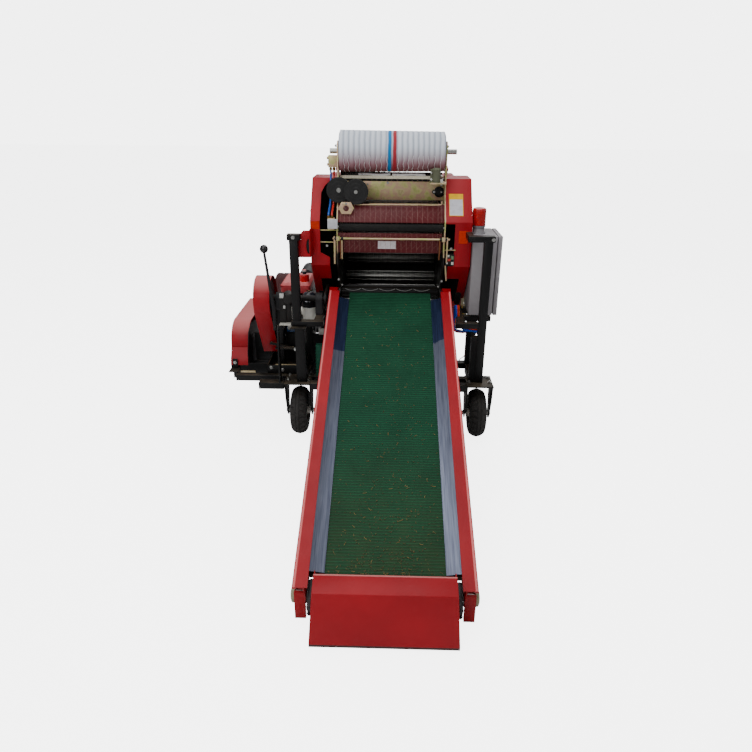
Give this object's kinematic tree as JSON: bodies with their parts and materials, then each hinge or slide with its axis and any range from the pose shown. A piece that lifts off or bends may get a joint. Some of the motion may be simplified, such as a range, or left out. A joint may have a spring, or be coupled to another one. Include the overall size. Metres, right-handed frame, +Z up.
{
  "type": "mini round baler with feed conveyor",
  "caption": "Red mini round baler with a long inclined green belt conveyor at the front, a net roll on top, a belt-driven diesel at its side, gate at the rear",
  "frame": {"origin": "on the floor below the middle of the whole machine", "axes": "+Y from the feed end to the bale gate, +X to the right as seen from the feed end, +Z up"},
  "size_m": [1.392, 2.385, 1.516],
  "materials": {
    "red_paint": "satin",
    "zinc_plate": "satin",
    "stainless": "satin",
    "bare_steel": "satin",
    "dark_steel": "rough",
    "cast_grey": "rough",
    "engine_grey": "rough",
    "dark_red_cast": "satin",
    "grey_paint": "satin",
    "cream_steel": "satin",
    "rim_paint": "satin",
    "green_paint": "satin",
    "black_paint": "satin",
    "chromed_rod": "polished",
    "green_belt": "matt",
    "belt_rubber": "matt",
    "caster_rubber": "matt",
    "tyre_rubber": "matt",
    "black_plastic": "matt",
    "hose_plastic": "gloss",
    "beacon_red": "gloss",
    "net_film": "matt"
  },
  "bodies": {
    "chassis": {"frame_rails": "black_paint", "frame_beams": "black_paint", "frame_posts": "black_paint", "mounting_plates": "black_paint", "pins": "bare_steel", "chamber_sides": "zinc_plate", "side_covers": "red_paint", "chamber_panels": "red_paint", "chamber_rollers": "bare_steel", "net_feed_plates": "zinc_plate", "net_feed_drive": "black_plastic", "air_valves": "zinc_plate", "air_hoses": "hose_plastic", "bale_ramp": "red_paint", "tall_guard": "red_paint", "low_guard": "red_paint", "guard_stays": "black_paint", "drive_pulleys": "cast_grey", "flywheel": "dark_red_cast", "drive_belts": "belt_rubber", "rotor_chain": "dark_steel", "bearing_blocks": "cast_grey", "engine_block": "engine_grey", "fuel_tank": "red_paint", "air_cleaner": "cream_steel", "finned_motor": "green_paint", "cabinet": "grey_paint", "beacon_lens": "beacon_red", "post_ties": "red_paint"},
    "wheel_front_left": {"wheel_left_tyre": "tyre_rubber", "wheel_left_rim": "rim_paint"},
    "wheel_front_right": {"wheel_right_tyre": "tyre_rubber", "wheel_right_rim": "rim_paint"},
    "caster_left": {"caster_left_fork": "zinc_plate"},
    "caster_right": {"caster_right_fork": "zinc_plate"},
    "caster_wheel_left": {"caster_left_wheel": "caster_rubber"},
    "caster_wheel_right": {"caster_right_wheel": "caster_rubber"},
    "conveyor": {"conveyor_rails": "red_paint", "conveyor_bed": "bare_steel", "belt_strips": "stainless", "conveyor_belt": "green_belt", "conveyor_drums": "bare_steel", "conveyor_hood": "red_paint"},
    "gate": {"gate_sides": "red_paint", "gate_shell": "red_paint", "gate_rollers": "bare_steel"},
    "gate_barrel_left": {"cylinder_left_barrel": "black_paint"},
    "gate_barrel_right": {"cylinder_right_barrel": "black_paint"},
    "gate_rod_left": {"cylinder_left_rod": "chromed_rod"},
    "gate_rod_right": {"cylinder_right_rod": "chromed_rod"},
    "lever": {"clutch_lever": "bare_steel"},
    "net_spindle": {"net_roll": "net_film", "net_shaft": "bare_steel"},
    "net_feed_roller": {"feed_roller": "belt_rubber"},
    "rotor": {"feed_rotor": "dark_steel"},
    "door": {"cabinet_door": "grey_paint"}
  },
  "joints": [
    {"name": "wheel_left_spin", "type": "hinge", "parent": "chassis", "child": "wheel_front_left", "pos_m": [-0.314, 0.2875, 0.129], "axis": [1, 0, 0], "continuous": true},
    {"name": "wheel_right_spin", "type": "hinge", "parent": "chassis", "child": "wheel_front_right", "pos_m": [0.622, 0.2875, 0.129], "axis": [1, 0, 0], "continuous": true},
    {"name": "caster_left_swivel", "type": "hinge", "parent": "chassis", "child": "caster_left", "pos_m": [-0.141, 1.0775, 0.235], "axis": [0, 0, 1], "continuous": true},
    {"name": "caster_right_swivel", "type": "hinge", "parent": "chassis", "child": "caster_right", "pos_m": [0.449, 1.0775, 0.235], "axis": [0, 0, 1], "continuous": true},
    {"name": "caster_left_spin", "type": "hinge", "parent": "caster_left", "child": "caster_wheel_left", "pos_m": [-0.141, 1.0325, 0.1], "axis": [1, 0, 0], "continuous": true},
    {"name": "caster_right_spin", "type": "hinge", "parent": "caster_right", "child": "caster_wheel_right", "pos_m": [0.449, 1.0325, 0.1], "axis": [1, 0, 0], "continuous": true},
    {"name": "conveyor_lift", "type": "hinge", "parent": "chassis", "child": "conveyor", "pos_m": [0.154, 0.457, 0.689], "axis": [-1, 0, 0], "range_deg": [0, 22.5]},
    {"name": "gate_hinge", "type": "hinge", "parent": "chassis", "child": "gate", "pos_m": [0.154, 0.7275, 1.32], "axis": [1, 0, 0], "range_deg": [0, 70]},
    {"name": "gate_barrel_left_tilt", "type": "hinge", "parent": "chassis", "child": "gate_barrel_left", "pos_m": [-0.211, 0.9475, 0.56], "axis": [1, 0, 0], "range_deg": [-0.513, 0]},
    {"name": "gate_barrel_right_tilt", "type": "hinge", "parent": "chassis", "child": "gate_barrel_right", "pos_m": [0.519, 0.9475, 0.56], "axis": [1, 0, 0], "range_deg": [-0.513, 0]},
    {"name": "gate_rod_left_slide", "type": "slide", "parent": "gate_barrel_left", "child": "gate_rod_left", "axis": [0, 0.0285, 0.9996], "range_m": [0, 0.34408]},
    {"name": "gate_rod_right_slide", "type": "slide", "parent": "gate_barrel_right", "child": "gate_rod_right", "axis": [0, 0.0285, 0.9996], "range_m": [0, 0.34408]},
    {"name": "clutch_lever_swing", "type": "hinge", "parent": "chassis", "child": "lever", "pos_m": [-0.409, 0.2425, 0.6], "axis": [1, 0, 0], "range_deg": [0, 25]},
    {"name": "net_roll_spin", "type": "hinge", "parent": "chassis", "child": "net_spindle", "pos_m": [0.154, 0.5145, 1.419], "axis": [1, 0, 0], "continuous": true},
    {"name": "net_feed_roller_spin", "type": "hinge", "parent": "chassis", "child": "net_feed_roller", "pos_m": [0.154, 0.3955, 1.074], "axis": [1, 0, 0], "continuous": true},
    {"name": "feed_rotor_spin", "type": "hinge", "parent": "chassis", "child": "rotor", "pos_m": [0.154, 0.5305, 0.716], "axis": [1, 0, 0], "continuous": true},
    {"name": "cabinet_door_swing", "type": "hinge", "parent": "chassis", "child": "door", "pos_m": [0.69, 0.5955, 0.85], "axis": [0, 0, 1], "range_deg": [0, 110]}
  ],
  "couplings": [
    {"joint": "gate_barrel_left_tilt", "follows": "gate_hinge", "ratio": -0.007306},
    {"joint": "gate_barrel_right_tilt", "follows": "gate_hinge", "ratio": -0.007306},
    {"joint": "gate_rod_left_slide", "follows": "gate_hinge", "m_per_rad": 0.28164},
    {"joint": "gate_rod_right_slide", "follows": "gate_hinge", "m_per_rad": 0.28164}
  ]
}
